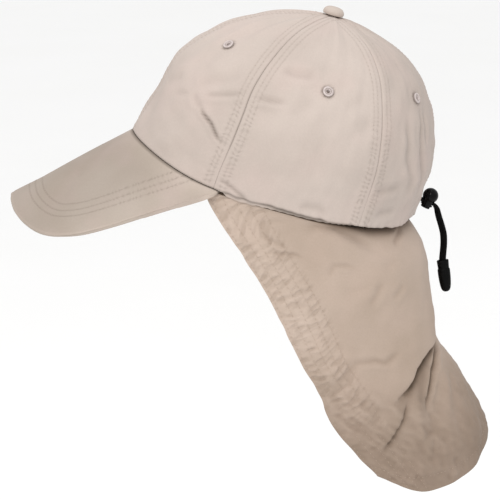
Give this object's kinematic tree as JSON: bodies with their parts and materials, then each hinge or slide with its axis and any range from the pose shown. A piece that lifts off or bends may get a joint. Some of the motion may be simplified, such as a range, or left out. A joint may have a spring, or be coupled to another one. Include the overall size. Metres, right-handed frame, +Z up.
{
  "type": "legionnaire cap",
  "caption": "Soft panelled sun cap with a curved stiff brim, a long cloth flap over neck and ears, and a back drawcord with a ball cord lock.",
  "frame": {"origin": "middle of the head opening, in the plane of the rim, as the cap sits on a level head", "axes": "+Z up, the brim points to -Y, +X is the wearer's left"},
  "size_m": [0.1658, 0.3267, 0.3187],
  "materials": {
    "crown_cloth": "woven microfibre, matt",
    "brim_cloth": "woven microfibre, matt",
    "flap_cloth": "woven microfibre, matt",
    "eyelet_paint": "satin paint",
    "lock_plastic": "moulded, slight gloss",
    "end_plastic": "moulded, matt",
    "cord_elastic": "braided elastic"
  },
  "bodies": {
    "cap": {"crown_panel_front_left": "crown_cloth", "crown_panel_front_right": "crown_cloth", "crown_panel_side_left": "crown_cloth", "crown_panel_side_right": "crown_cloth", "crown_panel_back_left": "crown_cloth", "crown_panel_back_right": "crown_cloth", "eyelet_front_left": "eyelet_paint", "eyelet_front_right": "eyelet_paint", "eyelet_side_left": "eyelet_paint", "eyelet_side_right": "eyelet_paint", "eyelet_back_left": "eyelet_paint", "eyelet_back_right": "eyelet_paint", "top_button": "crown_cloth", "brim": "brim_cloth", "hem_casing": "crown_cloth", "neck_flap": "flap_cloth", "cord_lock_body": "lock_plastic", "cord_end": "end_plastic", "drawcord_strand_left": "cord_elastic", "drawcord_strand_right": "cord_elastic"},
    "lock_plunger": {"cord_lock_plunger": "lock_plastic"}
  },
  "joints": [
    {"name": "plunger_press", "type": "slide", "parent": "cap", "child": "lock_plunger", "axis": [0, 0.4226, 0.9063], "range_m": [0, 0.0015], "stiffness_N_per_m": 300, "springref_m": -0.002}
  ]
}
